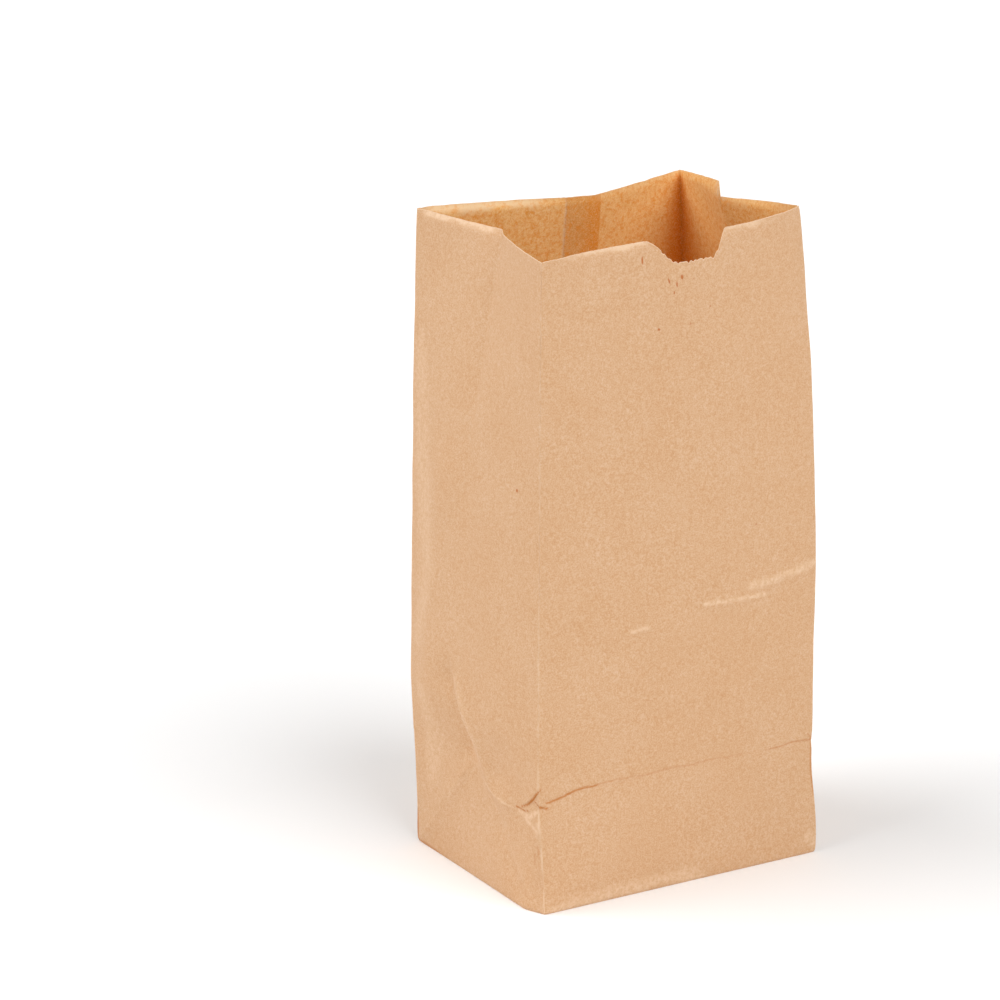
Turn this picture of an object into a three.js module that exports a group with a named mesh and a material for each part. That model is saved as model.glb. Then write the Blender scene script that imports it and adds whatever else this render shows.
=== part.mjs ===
// Brown kraft paper lunch bag, standing open. Millimetres, +Z up.
// The origin is the middle of the base; the wide front panel faces -Y and the
// wide back panel, with the glued seam, faces +Y. The gusseted sides face -X and +X.
// The bag is one folded and glued sheet, so it is one closed solid: a thin wall
// that runs round the four panels, up to the cut of the mouth and across the base.

import * as THREE from 'three';

// ---- the sheet and the folded bag -------------------------------------------------
const WIDTH = 130;          // front and back panels, crease to crease
const DEPTH = 96;           // gusseted sides, crease to crease when opened out
const HEIGHT = 267;         // nominal height from the base to the cut of the mouth
const PAPER = 0.13;         // one layer of kraft paper
const HALF_W = WIDTH / 2;
const HALF_D = DEPTH / 2;
const FOLD_Z = DEPTH / 2;   // the fold of the flat-packed bag lies half a depth up

// ---- mouth ------------------------------------------------------------------------
const NOTCH_LEFT = 50;      // thumb notch, measured along the front panel from its left crease
const NOTCH_RIGHT = 86;
const NOTCH_DEPTH = 10;
const TOOTH_PITCH = 2.6;    // pinked cut of the mouth
const TOOTH_DEPTH = 0.3;
const NOTCH_TOOTH_DEPTH = 0.9;
const BAND_Z = 236;         // above this the rows of the wall follow the cut

// ---- seam and base ----------------------------------------------------------------
const SEAM_FROM = 44;       // lap of the glued seam, measured along the back panel
const SEAM_TO = 61;         // from its right crease
const FLOOR_LAYERS = 2;     // base folded over on itself
const LAP_LAYERS = 3;       // and lapped along its middle
const LAP_HALF = 19;        // half the depth of that lap
const LAP_REACH = 0.94;     // the part of the width that it takes up

// ---- how finely the wall is divided -----------------------------------------------
const STEPS_FRONT = 14;
const STEPS_BACK = 14;
const STEPS_GUSSET = 8;     // per half gusset, so that the diagonal folds run through corners
const ROWS_BASE = 8;
const ROWS_WALL = 11;
const ROWS_BAND = 3;

// ---- small helpers ----------------------------------------------------------------
const clamp = (v, lo, hi) => Math.min(hi, Math.max(lo, v));
const mix = (a, b, t) => a + (b - a) * t;
const smooth = (a, b, v) => {
  const t = clamp((v - a) / (b - a), 0, 1);
  return t * t * (3 - 2 * t);
};
const rise = (from, v, power) => Math.pow(clamp((v - from) / (HEIGHT - from), 0, 1.02), power);

// A value given at a few heights, with an eased run between them.
function along(z, stops) {
  if (z <= stops[0][0]) return stops[0][1];
  for (let i = 1; i < stops.length; i++) {
    const [z0, v0] = stops[i - 1];
    const [z1, v1] = stops[i];
    if (z <= z1) return mix(v0, v1, smooth(z0, z1, z));
  }
  return stops[stops.length - 1][1];
}

// ---- the four long creases and the two gusset creases -----------------------------
// The mouth stands a little open and askew: its right side is drawn in and back.
const frontLeft = (z) => {
  const pinch = 2.8 * smooth(0, 56, z);
  return [-HALF_W - pinch - 2.5 * rise(90, z, 1), -HALF_D - 5.1 * rise(90, z, 1)];
};

const drawIn = (z) => 0.2 * smooth(6, 40, z) + 0.8 * rise(90, z, 2.2);

const frontRight = (z) => [HALF_W - 8.1 * drawIn(z), -HALF_D + 8.5 * drawIn(z)];

const backRight = (z) => [HALF_W - 3.4 * drawIn(z), HALF_D + 2.9 * drawIn(z)];

const backLeft = (z) => [-HALF_W - 2.8 * smooth(0, 100, z), HALF_D - 6.8 * rise(60, z, 1.6)];

// Each gusset is flat below the fold, stands out above it and turns in at the mouth.
const leftGusset = (z) => {
  const out = along(z, [[0, 0], [FOLD_Z, 1.8], [74, 7.4], [150, 6.8], [196, 3.9]]);
  const turn = 11.6 * Math.pow(clamp((z - 190) / 77, 0, 1.02), 1.1);
  return [-HALF_W - out + turn, (frontLeft(z)[1] + backLeft(z)[1]) / 2];
};

const rightGusset = (z) => {
  const out = along(z, [[0, 0], [FOLD_Z, 1.0], [76, 4.4], [150, 3.8], [200, 2.2]]);
  const turn = 18.0 * Math.pow(clamp((z - 180) / 82, 0, 1), 1.6);
  return [HALF_W + out - turn, (frontRight(z)[1] + backRight(z)[1]) / 2];
};

const CORNERS = [frontLeft, frontRight, backRight, backLeft];

// ---- how far each panel stands out from the straight line between its creases ------
const foldValley = (z, depth) => -depth * Math.exp(-Math.pow((z - FOLD_Z) / 3.2, 2));

const frontBow = (f, z) => {
  const lip = 8 * drawIn(z) * Math.sin(Math.PI * Math.pow(f, 2.2));
  const pillow = 1.8 * Math.sin(Math.PI * f) * smooth(FOLD_Z, 100, z) * (1 - rise(150, z, 1));
  return lip + pillow + foldValley(z, 0.8) * smooth(0, 0.04, f) * smooth(1, 0.96, f);
};

// The back panel folds in beside the seam, most of all at the mouth.
const BEND = 0.36;
const backBow = (f, z) => {
  const tent = f < BEND ? f / BEND : (1 - f) / (1 - BEND);
  const round = 0.12 * Math.exp(-Math.pow((f - BEND) / 0.07, 2));
  const pillow = 1.6 * Math.sin(Math.PI * f) * smooth(20, 110, z) * (1 - rise(140, z, 1));
  return -7.6 * (tent - round) * rise(150, z, 2.5) + pillow;
};

const gussetBow = (f, z) => 0.8 * Math.sin(Math.PI * f) * smooth(FOLD_Z, 90, z);

// The bottom of the left side is pushed out, more and more towards its blunt front corner.
const sidePush = (f, z) =>
  3.7 * Math.pow(f, 1.2) * (1 - smooth(0.88, 1, f)) * (1 - smooth(0, 40, z));

// Below the fold each side carries the two diagonal folds of the base, as slight ridges.
const diagonalRidge = (fromCrease, z) => {
  const off = Math.abs(fromCrease - z) / Math.SQRT2;
  return z < FOLD_Z ? 0.5 * Math.exp(-off / 2.5) * smooth(0, 8, z) : 0;
};

// ---- height of the cut ------------------------------------------------------------
const teeth = (s, depth) => depth * Math.abs(((s / TOOTH_PITCH) % 1) * 2 - 1);

function frontCut(f) {
  const s = f * WIDTH;
  const level = mix(263.6, 266.7, f);
  if (s <= NOTCH_LEFT || s >= NOTCH_RIGHT) return level - teeth(s, TOOTH_DEPTH);
  const left = smooth(NOTCH_LEFT - 1, NOTCH_LEFT + 14, s);
  const right = 1 - smooth(NOTCH_RIGHT - 7, NOTCH_RIGHT + 0.5, s);
  const bite = NOTCH_DEPTH * left * right;
  return level - bite - teeth(s, mix(TOOTH_DEPTH, NOTCH_TOOTH_DEPTH, clamp(bite / 6, 0, 1)));
}

const straightCut = (from, to, length) => (f) => mix(from, to, f) - teeth(f * length, TOOTH_DEPTH);

const backCut = (f) => {
  const level = f < BEND ? mix(263.4, 260.6, f / BEND) : mix(260.6, 265, (f - BEND) / (1 - BEND));
  return level - teeth(f * WIDTH, TOOTH_DEPTH);
};

// ---- the panels in order round the bag, seen from above, counter-clockwise ---------
const PANELS = [
  { from: frontLeft, to: frontRight, length: WIDTH, steps: STEPS_FRONT, cut: frontCut, bow: frontBow },
  {
    from: frontRight, to: rightGusset, length: HALF_D, steps: STEPS_GUSSET,
    cut: straightCut(266.7, 262.1, HALF_D),
    bow: (f, z) => gussetBow(f, z) + diagonalRidge(f * HALF_D, z),
  },
  {
    from: rightGusset, to: backRight, length: HALF_D, steps: STEPS_GUSSET,
    cut: straightCut(269.3, 263.4, HALF_D),
    bow: (f, z) => gussetBow(f, z) + diagonalRidge((1 - f) * HALF_D, z),
  },
  { from: backRight, to: backLeft, length: WIDTH, steps: STEPS_BACK, cut: backCut, bow: backBow, seam: true },
  {
    from: backLeft, to: leftGusset, length: HALF_D, steps: STEPS_GUSSET,
    cut: straightCut(265, 264.9, HALF_D),
    bow: (f, z) => gussetBow(f, z) + diagonalRidge(f * HALF_D, z) + sidePush(f / 2, z),
  },
  {
    from: leftGusset, to: frontLeft, length: HALF_D, steps: STEPS_GUSSET,
    cut: straightCut(263.3, 263.6, HALF_D),
    bow: (f, z) => gussetBow(f, z) + diagonalRidge((1 - f) * HALF_D, z) + sidePush((1 + f) / 2, z),
  },
];

// A station is a place along the perimeter: a panel and how far along it, and the
// number of layers that lie outside and inside the first one there.
function panelStations(panel, fractions) {
  return fractions.map((f) => {
    const s = f * panel.length;
    let outer = 0;
    let inner = 1;
    if (panel.seam && s > SEAM_FROM - 10 && s < SEAM_TO) {
      inner = s >= SEAM_FROM ? 2 : 1 + (s - SEAM_FROM + 10) / 10;
      outer = s >= SEAM_FROM ? 0 : inner - 1;
    }
    return { panel, f, outer, inner };
  });
}

const CREASE = 1.1;         // the creases are rounded over about this much to each side

function coarseFractions(panel) {
  const edge = CREASE / panel.length;
  const inside = [];
  for (let i = 1; i < panel.steps; i++) inside.push(i / panel.steps);
  const list = [0, edge, ...inside, 1 - edge];
  if (panel.seam) {
    for (const s of [SEAM_FROM - 0.05, SEAM_FROM, SEAM_TO - 0.05, SEAM_TO]) {
      const at = list.findIndex((v) => Math.abs(v - s / panel.length) < 0.012);
      if (at > 0) list.splice(at, 1);
      list.push(s / panel.length);
    }
  }
  return list.sort((a, b) => a - b);
}

function fineFractions(panel) {
  const list = new Set(coarseFractions(panel));
  const half = TOOTH_PITCH / 2;
  for (let s = half; s < panel.length - 0.6; s += half) {
    const f = s / panel.length;
    if (![...list].some((v) => Math.abs(v - f) * panel.length < 0.35)) list.add(f);
  }
  return [...list].sort((a, b) => a - b);
}

// ---- the outer face ---------------------------------------------------------------
function facePoint(station, z) {
  const { panel, f } = station;
  const [ax, ay] = panel.from(z);
  const [bx, by] = panel.to(z);
  const run = Math.hypot(bx - ax, by - ay);
  const nx = (by - ay) / run;
  const ny = -(bx - ax) / run;
  // round the four long creases over a little, and the corners of the base rather more
  const near = Math.min(
    CORNERS.includes(panel.from) ? f * panel.length : Infinity,
    CORNERS.includes(panel.to) ? (1 - f) * panel.length : Infinity,
  );
  const soft = 0.25 + 1.1 * Math.exp(-z / 5);
  const bow = panel.bow(f, z) - soft * Math.exp(-near / CREASE);
  return [mix(ax, bx, f) + nx * bow, mix(ay, by, f) + ny * bow];
}

function rowHeights() {
  const rows = [];
  for (let i = 0; i <= ROWS_BASE; i++) rows.push((FOLD_Z * i) / ROWS_BASE);
  for (let i = 1; i <= ROWS_WALL; i++) rows.push(mix(FOLD_Z, BAND_Z, i / ROWS_WALL));
  return rows;
}

const cutHeight = (station) => station.panel.cut(station.f);

// Offsets a closed loop of [x, y] inwards by a depth of its own at each point.
function inset(loop, depth) {
  const n = loop.length;
  return loop.map(([x, y], i) => {
    const [px, py] = loop[(i + n - 1) % n];
    const [qx, qy] = loop[(i + 1) % n];
    const a = Math.hypot(x - px, y - py) || 1;
    const b = Math.hypot(qx - x, qy - y) || 1;
    const n1 = [(y - py) / a, -(x - px) / a];
    const n2 = [(qy - y) / b, -(qx - x) / b];
    const scale = 1 / Math.max(0.5, 1 + n1[0] * n2[0] + n1[1] * n2[1]);
    return [x - (n1[0] + n2[0]) * scale * depth[i], y - (n1[1] + n2[1]) * scale * depth[i]];
  });
}

// One row of the wall: the outer loop and the inner loop, at a height per station.
function wallRow(stations, heightOf) {
  const heights = stations.map(heightOf);
  const face = stations.map((st, i) => facePoint(st, heights[i]));
  const outer = inset(face, stations.map((st) => st.outer * PAPER));
  const inner = inset(face, stations.map((st) => st.inner * PAPER));
  const lift = (loop) => loop.map(([x, y], i) => [x, y, heights[i]]);
  return { outer: lift(outer), inner: lift(inner) };
}

// ---- mesh building ----------------------------------------------------------------
class Skin {
  constructor() {
    this.points = [];
    this.faces = [];
  }

  loop(points) {
    return points.map((p) => this.points.push(p) - 1);
  }

  // joins two loops of the same count; the split follows the diagonal folds
  bridge(lower, upper, outward, leanRight = () => false) {
    const n = lower.length;
    for (let i = 0; i < n; i++) {
      const j = (i + 1) % n;
      const quad = leanRight(i)
        ? [[lower[i], lower[j], upper[j]], [lower[i], upper[j], upper[i]]]
        : [[lower[i], lower[j], upper[i]], [lower[j], upper[j], upper[i]]];
      for (const [a, b, c] of quad) this.faces.push(outward ? [a, b, c] : [a, c, b]);
    }
  }

  // joins a coarse loop to a finer one that holds the same stations and more
  fan(coarse, fine, indexInFine, outward) {
    const n = coarse.length;
    for (let i = 0; i < n; i++) {
      const j = (i + 1) % n;
      const start = indexInFine[i];
      let end = indexInFine[j];
      if (end <= start) end += fine.length;
      const turn = start + Math.floor((end - start) / 2);
      for (let k = start; k < end; k++) {
        const a = k < turn ? coarse[i] : coarse[j];
        const p = fine[k % fine.length];
        const q = fine[(k + 1) % fine.length];
        this.faces.push(outward ? [a, q, p] : [a, p, q]);
      }
      const mid = fine[turn % fine.length];
      this.faces.push(outward ? [coarse[i], coarse[j], mid] : [coarse[i], mid, coarse[j]]);
    }
  }

  // fills a flat region bounded by a loop, as a fan about the middle of the base
  cap(loop, up) {
    const centre = this.points.push([0, 0, this.points[loop[0]][2]]) - 1;
    loop.forEach((a, i) => {
      const b = loop[(i + 1) % loop.length];
      this.faces.push(up ? [a, b, centre] : [b, a, centre]);
    });
  }

  geometry() {
    const flat = new Float32Array(this.points.flat());
    const geometry = new THREE.BufferGeometry();
    geometry.setAttribute('position', new THREE.BufferAttribute(flat, 3));
    geometry.setIndex(this.faces.flat());
    geometry.computeVertexNormals();
    return geometry;
  }
}

function buildBag() {
  const skin = new Skin();
  const coarse = PANELS.flatMap((p) => panelStations(p, coarseFractions(p)));
  const fine = PANELS.flatMap((p) => panelStations(p, fineFractions(p)));
  const indexInFine = coarse.map((st) => fine.findIndex((q) => q.panel === st.panel && q.f === st.f));

  // below the fold, cells on the front half of a gusset lean one way and on the back
  // half the other, so that an edge of the mesh lies along each diagonal fold
  const leans = (i) => {
    const k = PANELS.indexOf(coarse[i].panel);
    return k === 1 || k === 4;
  };

  // wall rows from the base up to the band below the mouth
  const levels = rowHeights();
  const rows = levels.map((z, k) => {
    const row = wallRow(coarse, () => z);
    if (k > 0) return row;
    const floor = row.inner.map(([x, y]) => [x, y, FLOOR_LAYERS * PAPER]);
    return { outer: row.outer, inner: floor };
  });
  for (let k = 1; k <= ROWS_BAND; k++) {
    const t = k / (ROWS_BAND + 1);
    rows.push(wallRow(coarse, (st) => mix(BAND_Z, cutHeight(st) - 1.2 * t, t)));
  }
  const outer = rows.map((r) => skin.loop(r.outer));
  const inner = rows.map((r) => skin.loop(r.inner));
  for (let k = 1; k < rows.length; k++) {
    skin.bridge(outer[k - 1], outer[k], true, leans);
    skin.bridge(inner[k - 1], inner[k], false, leans);
  }

  // the cut of the mouth
  const rim = wallRow(fine, cutHeight);
  const rimOuter = skin.loop(rim.outer);
  const rimInner = skin.loop(rim.inner);
  skin.fan(outer[outer.length - 1], rimOuter, indexInFine, true);
  skin.fan(inner[inner.length - 1], rimInner, indexInFine, false);
  skin.bridge(rimOuter, rimInner, true);

  // the base: flat below, and inside a lap raised by one more layer along its middle
  const lapRing = (half, layers) => skin.loop(inner[0].map((i) => {
    const [x, y] = skin.points[i];
    return [x * LAP_REACH, (y * half) / HALF_D, layers * PAPER];
  }));
  const lapFoot = lapRing(LAP_HALF, FLOOR_LAYERS);
  const lapTop = lapRing(LAP_HALF - 0.1, LAP_LAYERS);
  skin.bridge(inner[0], lapFoot, true);
  skin.bridge(lapFoot, lapTop, true);
  skin.cap(lapTop, true);
  skin.cap(outer[0], false);
  return skin.geometry();
}

const kraft = new THREE.MeshStandardMaterial({ color: 0xddb28b, roughness: 0.9, metalness: 0 });
const bag = new THREE.Mesh(buildBag(), kraft);
bag.name = 'paper_bag';

const group = new THREE.Group();
group.name = 'paper_lunch_bag';
group.add(bag);

export default group;
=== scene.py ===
# The looks of a brown kraft paper lunch bag, standing open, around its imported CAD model.
# The bag is one sheet, so it is one closed shell: the outer face, the inner face one
# layer of paper further in, the cut of the mouth between them, and the base.
# Shapes are worked out in millimetres on the sheet and turned into metres at the end.
# Places on the sheet are (u, z): z is the height, and u runs round the bag from the
# back left crease (-96) over the left side, the front (0 to 130) and the right side
# to the back (226 to 356), which ends at the same crease.

import math

import bpy
import numpy as np
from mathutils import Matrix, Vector


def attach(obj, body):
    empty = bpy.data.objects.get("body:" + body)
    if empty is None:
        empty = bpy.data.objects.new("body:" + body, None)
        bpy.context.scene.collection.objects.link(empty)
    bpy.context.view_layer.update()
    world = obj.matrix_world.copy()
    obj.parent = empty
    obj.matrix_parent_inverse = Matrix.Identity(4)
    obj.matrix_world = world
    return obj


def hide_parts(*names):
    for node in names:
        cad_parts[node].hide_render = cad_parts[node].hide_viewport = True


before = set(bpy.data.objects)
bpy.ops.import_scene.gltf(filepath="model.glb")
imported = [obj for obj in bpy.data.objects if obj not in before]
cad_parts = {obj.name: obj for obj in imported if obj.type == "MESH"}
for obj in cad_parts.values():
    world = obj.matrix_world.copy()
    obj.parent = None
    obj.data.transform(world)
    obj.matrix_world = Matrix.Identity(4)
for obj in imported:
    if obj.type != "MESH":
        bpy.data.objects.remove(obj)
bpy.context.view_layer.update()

MM = 0.001
FAR = 1e9                   # further than anything, to start a search for the nearest

# ---- the sheet and the folded bag, as in the CAD part ---------------------------------
WIDTH = 130.0               # front and back panels, crease to crease
DEPTH = 96.0                # gusseted sides
HEIGHT = 267.0              # nominal height of the cut of the mouth
PAPER = 0.13                # one layer of kraft paper
HALF_W, HALF_D = WIDTH / 2, DEPTH / 2
FOLD_Z = DEPTH / 2          # the fold of the flat-packed bag
ROUND = 2 * (WIDTH + DEPTH)

NOTCH_LEFT, NOTCH_RIGHT, NOTCH_DEPTH = 50.0, 86.0, 10.0
TOOTH_PITCH, TOOTH_DEPTH, NOTCH_TOOTH_DEPTH = 2.3, 0.22, 1.3
BAND_Z = 232.0              # above this the rows of the wall follow the cut
LEAN_Z = 90.0               # above this the creases lean, as the bag opens
SEAM_FROM, SEAM_TO = 44.0, 61.0   # lap of the glued seam, from the back right crease
SEAM_RAMP = 10.0            # over this the sheet steps out onto the lap
FLOOR_LAYERS, LAP_LAYERS = 2, 3   # of paper in the base, and along its middle
LAP_HALF, LAP_REACH = 19.0, 0.94  # half the depth of that lap, and its part of the width

# where the right side and the back begin on the sheet, and where the sheet starts
U_RIGHT, U_BACK, U_START = WIDTH, WIDTH + DEPTH, -DEPTH


# ---- small helpers --------------------------------------------------------------------
def smooth(a, b, v):
    t = np.clip((v - a) / (b - a), 0, 1)
    return t * t * (3 - 2 * t)


def mix(a, b, t):
    return a + (b - a) * t


def rise(start, z, power):
    """From 0 at the start height to 1 at the mouth."""
    return np.clip((z - start) / (HEIGHT - start), 0, 1.02) ** power


def along(z, stops):
    """A value given at a few heights, with an eased run between them."""
    out = np.full_like(z, stops[0][1])
    for (z0, v0), (z1, v1) in zip(stops, stops[1:]):
        out = np.where(z > z0, mix(v0, v1, smooth(z0, z1, z)), out)
    return out


def bell(v, width):
    """1 at 0, falling off to both sides."""
    return np.exp(-((v / width) ** 2))


def unit(v):
    return v / np.maximum(np.linalg.norm(v, axis=-1, keepdims=True), 1e-9)


# ---- the four long creases and the two gusset creases, from the back left -------------
def front_left(z):
    lean = rise(LEAN_Z, z, 1)
    return np.stack([-HALF_W - 2.8 * smooth(0, 56, z) - 2.5 * lean, -HALF_D - 5.1 * lean], -1)


def draw_in(z):
    """How far the right side has drawn in, from 0 at the base to 1 at the mouth."""
    return 0.2 * smooth(6, 40, z) + 0.8 * rise(LEAN_Z, z, 2.2)


def front_right(z):
    return np.stack([HALF_W - 8.1 * draw_in(z), -HALF_D + 8.5 * draw_in(z)], -1)


def back_right(z):
    return np.stack([HALF_W - 3.4 * draw_in(z), HALF_D + 2.9 * draw_in(z)], -1)


def back_left(z):
    return np.stack([-HALF_W - 2.8 * smooth(0, 100, z), HALF_D - 6.8 * rise(60, z, 1.6)], -1)


def left_gusset(z):
    out = along(z, [(0, 0), (FOLD_Z, 1.8), (74, 7.4), (150, 6.8), (196, 3.9)])
    turn = 11.6 * np.clip((z - 190) / 77, 0, 1.02) ** 1.1
    y = (front_left(z)[..., 1] + back_left(z)[..., 1]) / 2
    return np.stack([-HALF_W - out + turn, y], -1)


def right_gusset(z):
    out = along(z, [(0, 0), (FOLD_Z, 1.0), (76, 4.4), (150, 3.8), (200, 2.2)])
    turn = 18.0 * np.clip((z - 180) / 82, 0, 1) ** 1.6
    y = (front_right(z)[..., 1] + back_right(z)[..., 1]) / 2
    return np.stack([HALF_W + out - turn, y], -1)


# ---- how far each panel stands out from the straight line between its creases ----------
def front_bow(f, z):
    lip = 8 * draw_in(z) * np.sin(np.pi * f ** 2.2)
    pillow = 1.8 * np.sin(np.pi * f) * smooth(FOLD_Z, 100, z) * (1 - rise(150, z, 1))
    return lip + pillow


BEND = 0.36                 # the back panel folds in here, beside the seam


def back_bow(f, z):
    tent = np.where(f < BEND, f / BEND, (1 - f) / (1 - BEND))
    crown = 0.12 * bell(f - BEND, 0.07)
    pillow = 1.6 * np.sin(np.pi * f) * smooth(20, 110, z) * (1 - rise(140, z, 1))
    return -7.6 * (tent - crown) * rise(150, z, 2.5) + pillow


def gusset_bow(f, z):
    return 0.8 * np.sin(np.pi * f) * smooth(FOLD_Z, 90, z)


def side_push(f, z):
    """The bottom of the left side is pushed out, more and more towards its blunt front corner."""
    return 3.7 * f ** 1.2 * (1 - smooth(0.88, 1, f)) * (1 - smooth(0, 40, z))


def left_back_bow(f, z):
    return gusset_bow(f, z) + side_push(f / 2, z)


def left_front_bow(f, z):
    return gusset_bow(f, z) + side_push((1 + f) / 2, z)


# ---- height of the cut ----------------------------------------------------------------
def teeth(s, depth):
    """The serrated cut: small teeth, no two quite alike."""
    uneven = 0.65 + 0.35 * np.sin(s * 1.7) + 0.3 * np.sin(s * 0.63 + 2)
    return depth * uneven * (1 - np.abs((s / TOOTH_PITCH + 0.12 * np.sin(s)) % 1 * 2 - 1) ** 0.8)


def front_cut(f):
    s = f * WIDTH
    left = smooth(NOTCH_LEFT - 1, NOTCH_LEFT + 14, s)
    right = 1 - smooth(NOTCH_RIGHT - 7, NOTCH_RIGHT + 0.5, s)
    bite = NOTCH_DEPTH * left * right
    depth = mix(TOOTH_DEPTH, NOTCH_TOOTH_DEPTH, np.clip(bite / 6, 0, 1))
    return mix(263.6, 266.7, f) - bite - teeth(s, depth)


def straight_cut(start, end, length):
    return lambda f: mix(start, end, f) - teeth(f * length, TOOTH_DEPTH)


def back_cut(f):
    before, after = mix(262.4, 259.6, f / BEND), mix(259.6, 265, (f - BEND) / (1 - BEND))
    return np.where(f < BEND, before, after) - teeth(f * WIDTH, TOOTH_DEPTH)


# ---- the panels in order, counter-clockwise seen from above ----------------------------
CREASES = [back_left, left_gusset, front_left, front_right, right_gusset, back_right]
IS_GUSSET = [False, True, False, False, True, False]
SIDES = len(CREASES)

# bow, cut, length, usual spacing of the mesh, and where it is finer: (place, spacing, reach)
PANELS = [
    (left_back_bow, straight_cut(265, 264.9, HALF_D), HALF_D, 2.0, [(0, 0.5, 2), (48, 1.0, 6)]),
    (left_front_bow, straight_cut(263.3, 263.6, HALF_D), HALF_D, 1.3, [(48, 0.55, 16)]),
    (front_bow, front_cut, WIDTH, 1.35, [(0, 0.55, 9), (68, 0.5, 17), (WIDTH, 0.45, 3)]),
    (gusset_bow, straight_cut(266.7, 262.1, HALF_D), HALF_D, 2.4, [(0, 0.45, 2), (48, 0.8, 2)]),
    (gusset_bow, straight_cut(268.4, 262.4, HALF_D), HALF_D, 2.4, [(0, 0.6, 2), (48, 0.5, 2)]),
    (back_bow, back_cut, WIDTH, 2.8, [(0, 0.5, 2), (44, 0.5, 2), (61, 0.5, 2), (WIDTH, 0.5, 2)]),
]
BACK = 5


def spread(length, usual, spots):
    """Places from 0 to length, closer together around the spots."""
    s = np.linspace(0, length, 4001)
    gap = np.full_like(s, usual)
    for place, spacing, reach in spots:
        away = smooth(reach, reach * 1.8 + 2, np.abs(s - place))
        gap = np.minimum(gap, mix(spacing, usual, away))
    count = np.concatenate([[0], np.cumsum((s[1] - s[0]) / gap[1:])])
    n = int(round(count[-1]))
    return np.interp(np.linspace(0, count[-1], n + 1), count, s)


def columns():
    """For each column of the wall: its panel, place along it, u, and layers out and in."""
    rows = []
    u = U_START
    for k, (_, _, length, usual, spots) in enumerate(PANELS):
        places = spread(length, usual, spots)[:-1]
        if k == BACK:
            for edge in (SEAM_FROM, SEAM_TO):
                places = places[np.abs(places - edge) > 0.35]
                places = np.concatenate([places, [edge - 0.05, edge + 0.05]])
            places = np.sort(places)
        for s in places:
            outer, inner = 0.0, 1.0
            if k == BACK and SEAM_FROM - SEAM_RAMP < s < SEAM_FROM:
                outer = (s - SEAM_FROM + SEAM_RAMP) / SEAM_RAMP
                inner = 1 + outer
            elif k == BACK and SEAM_FROM < s < SEAM_TO:
                inner = 2.0
            rows.append((k, s, u + s, outer, inner))
        u += length
    return [np.array(c) for c in zip(*rows)]


# ---- the larger creases and dents: heights in millimetres, outwards ---------------------
def fold_height(u):
    """The fold of the flat-packed bag isn't quite straight."""
    dip = 2.2 * np.exp(-np.abs(u) / 3.5)
    lift = 1.4 * smooth(5, 40, u) * (1 - smooth(100, 130, u))
    return FOLD_Z - dip + lift + 0.35 * np.sin(u / 9) + 0.2 * np.sin(u / 3.7 + 1)


def to_segment(u, z, a, b):
    """Distance from the line a-b, and how far along it, from 0 to 1."""
    ax, ay, bx, by = *a, *b
    dx, dy = bx - ax, by - ay
    t = np.clip(((u - ax) * dx + (z - ay) * dy) / (dx * dx + dy * dy), 0, 1)
    return np.hypot(u - ax - t * dx, z - ay - t * dy), t


def line(u, z, points, width, sharp=1.0):
    """A ridge of height 1 along a line of points, fading at its two ends."""
    out = np.zeros_like(u)
    last = len(points) - 1
    for i, (a, b) in enumerate(zip(points, points[1:])):
        gap, t = to_segment(u, z, a, b)
        fade = smooth(0, 1, (i + t) / last * 6) * smooth(0, 1, (last - i - t) / last * 6)
        out = np.maximum(out, np.exp(-((gap / width) ** sharp)) * fade)
    return out


def pyramid(u, z, corners, peak):
    """A dent of depth 1 at its peak, with a flat facet to each side of the outline."""
    level = np.full_like(u, 1.0)
    for a, b in zip(corners, corners[1:] + corners[:1]):
        nx, nz = b[1] - a[1], a[0] - b[0]
        full = (peak[0] - a[0]) * nx + (peak[1] - a[1]) * nz
        level = np.minimum(level, ((u - a[0]) * nx + (z - a[1]) * nz) / full)
    return np.clip(level, 0, 1)


# ridges and valleys: points along each, width, height (below 0 is a valley), and the power of
# its slope (near 1 is a sharp crease, 2 is rounded)
WRINKLES = [
    ([(131, 122.4), (120, 121.0), (108.6, 119.7), (95, 119.2)], 1.9, 0.9, 1.3),
    ([(105, 114.4), (90, 115.0), (73, 115.8)], 1.4, 0.7, 1.3),
    ([(50, 111.0), (40, 110.4)], 1.4, 0.5, 1.3),
    # the left side, around the apex of its gusset
    ([(-65, 88), (-59, 75), (-53.5, 60), (-51.5, 47)], 4.4, -2.2, 1.3),
    ([(-59, 88), (-52.5, 74.5), (-42, 58), (-36.5, 44), (-28, 39.5), (-15, 40)], 4.6, 1.9, 1.6),
    ([(-50.5, 49), (-61, 36), (-80, 15.5), (-97, 0)], 2.4, 1.4, 1.1),
    ([(-66, 190), (-72, 130), (-77, 85), (-84, 40)], 9.0, 1.5, 2.0),
    ([(-37, 42), (-30, 28), (-18, 12), (-6, 3)], 3.6, -1.0, 1.4),
    ([(-47, 268), (-48, 235), (-49, 205), (-51, 175), (-54, 145)], 2.4, -0.5, 1.2),
    # the right side, which has the same base folds
    ([(178, 272), (178, 180), (178, 90), (178, 48)], 2.0, -0.7, 1.0),
    ([(178, 48), (154, 24), (130, 0)], 2.0, 0.8, 1.0),
    ([(178, 48), (202, 24), (226, 0)], 2.0, 0.8, 1.0),
    # the corner below the crumple
    ([(-0.5, 40), (-1.6, 34), (-0.6, 27)], 1.4, 0.5, 1.2),
]
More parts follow.
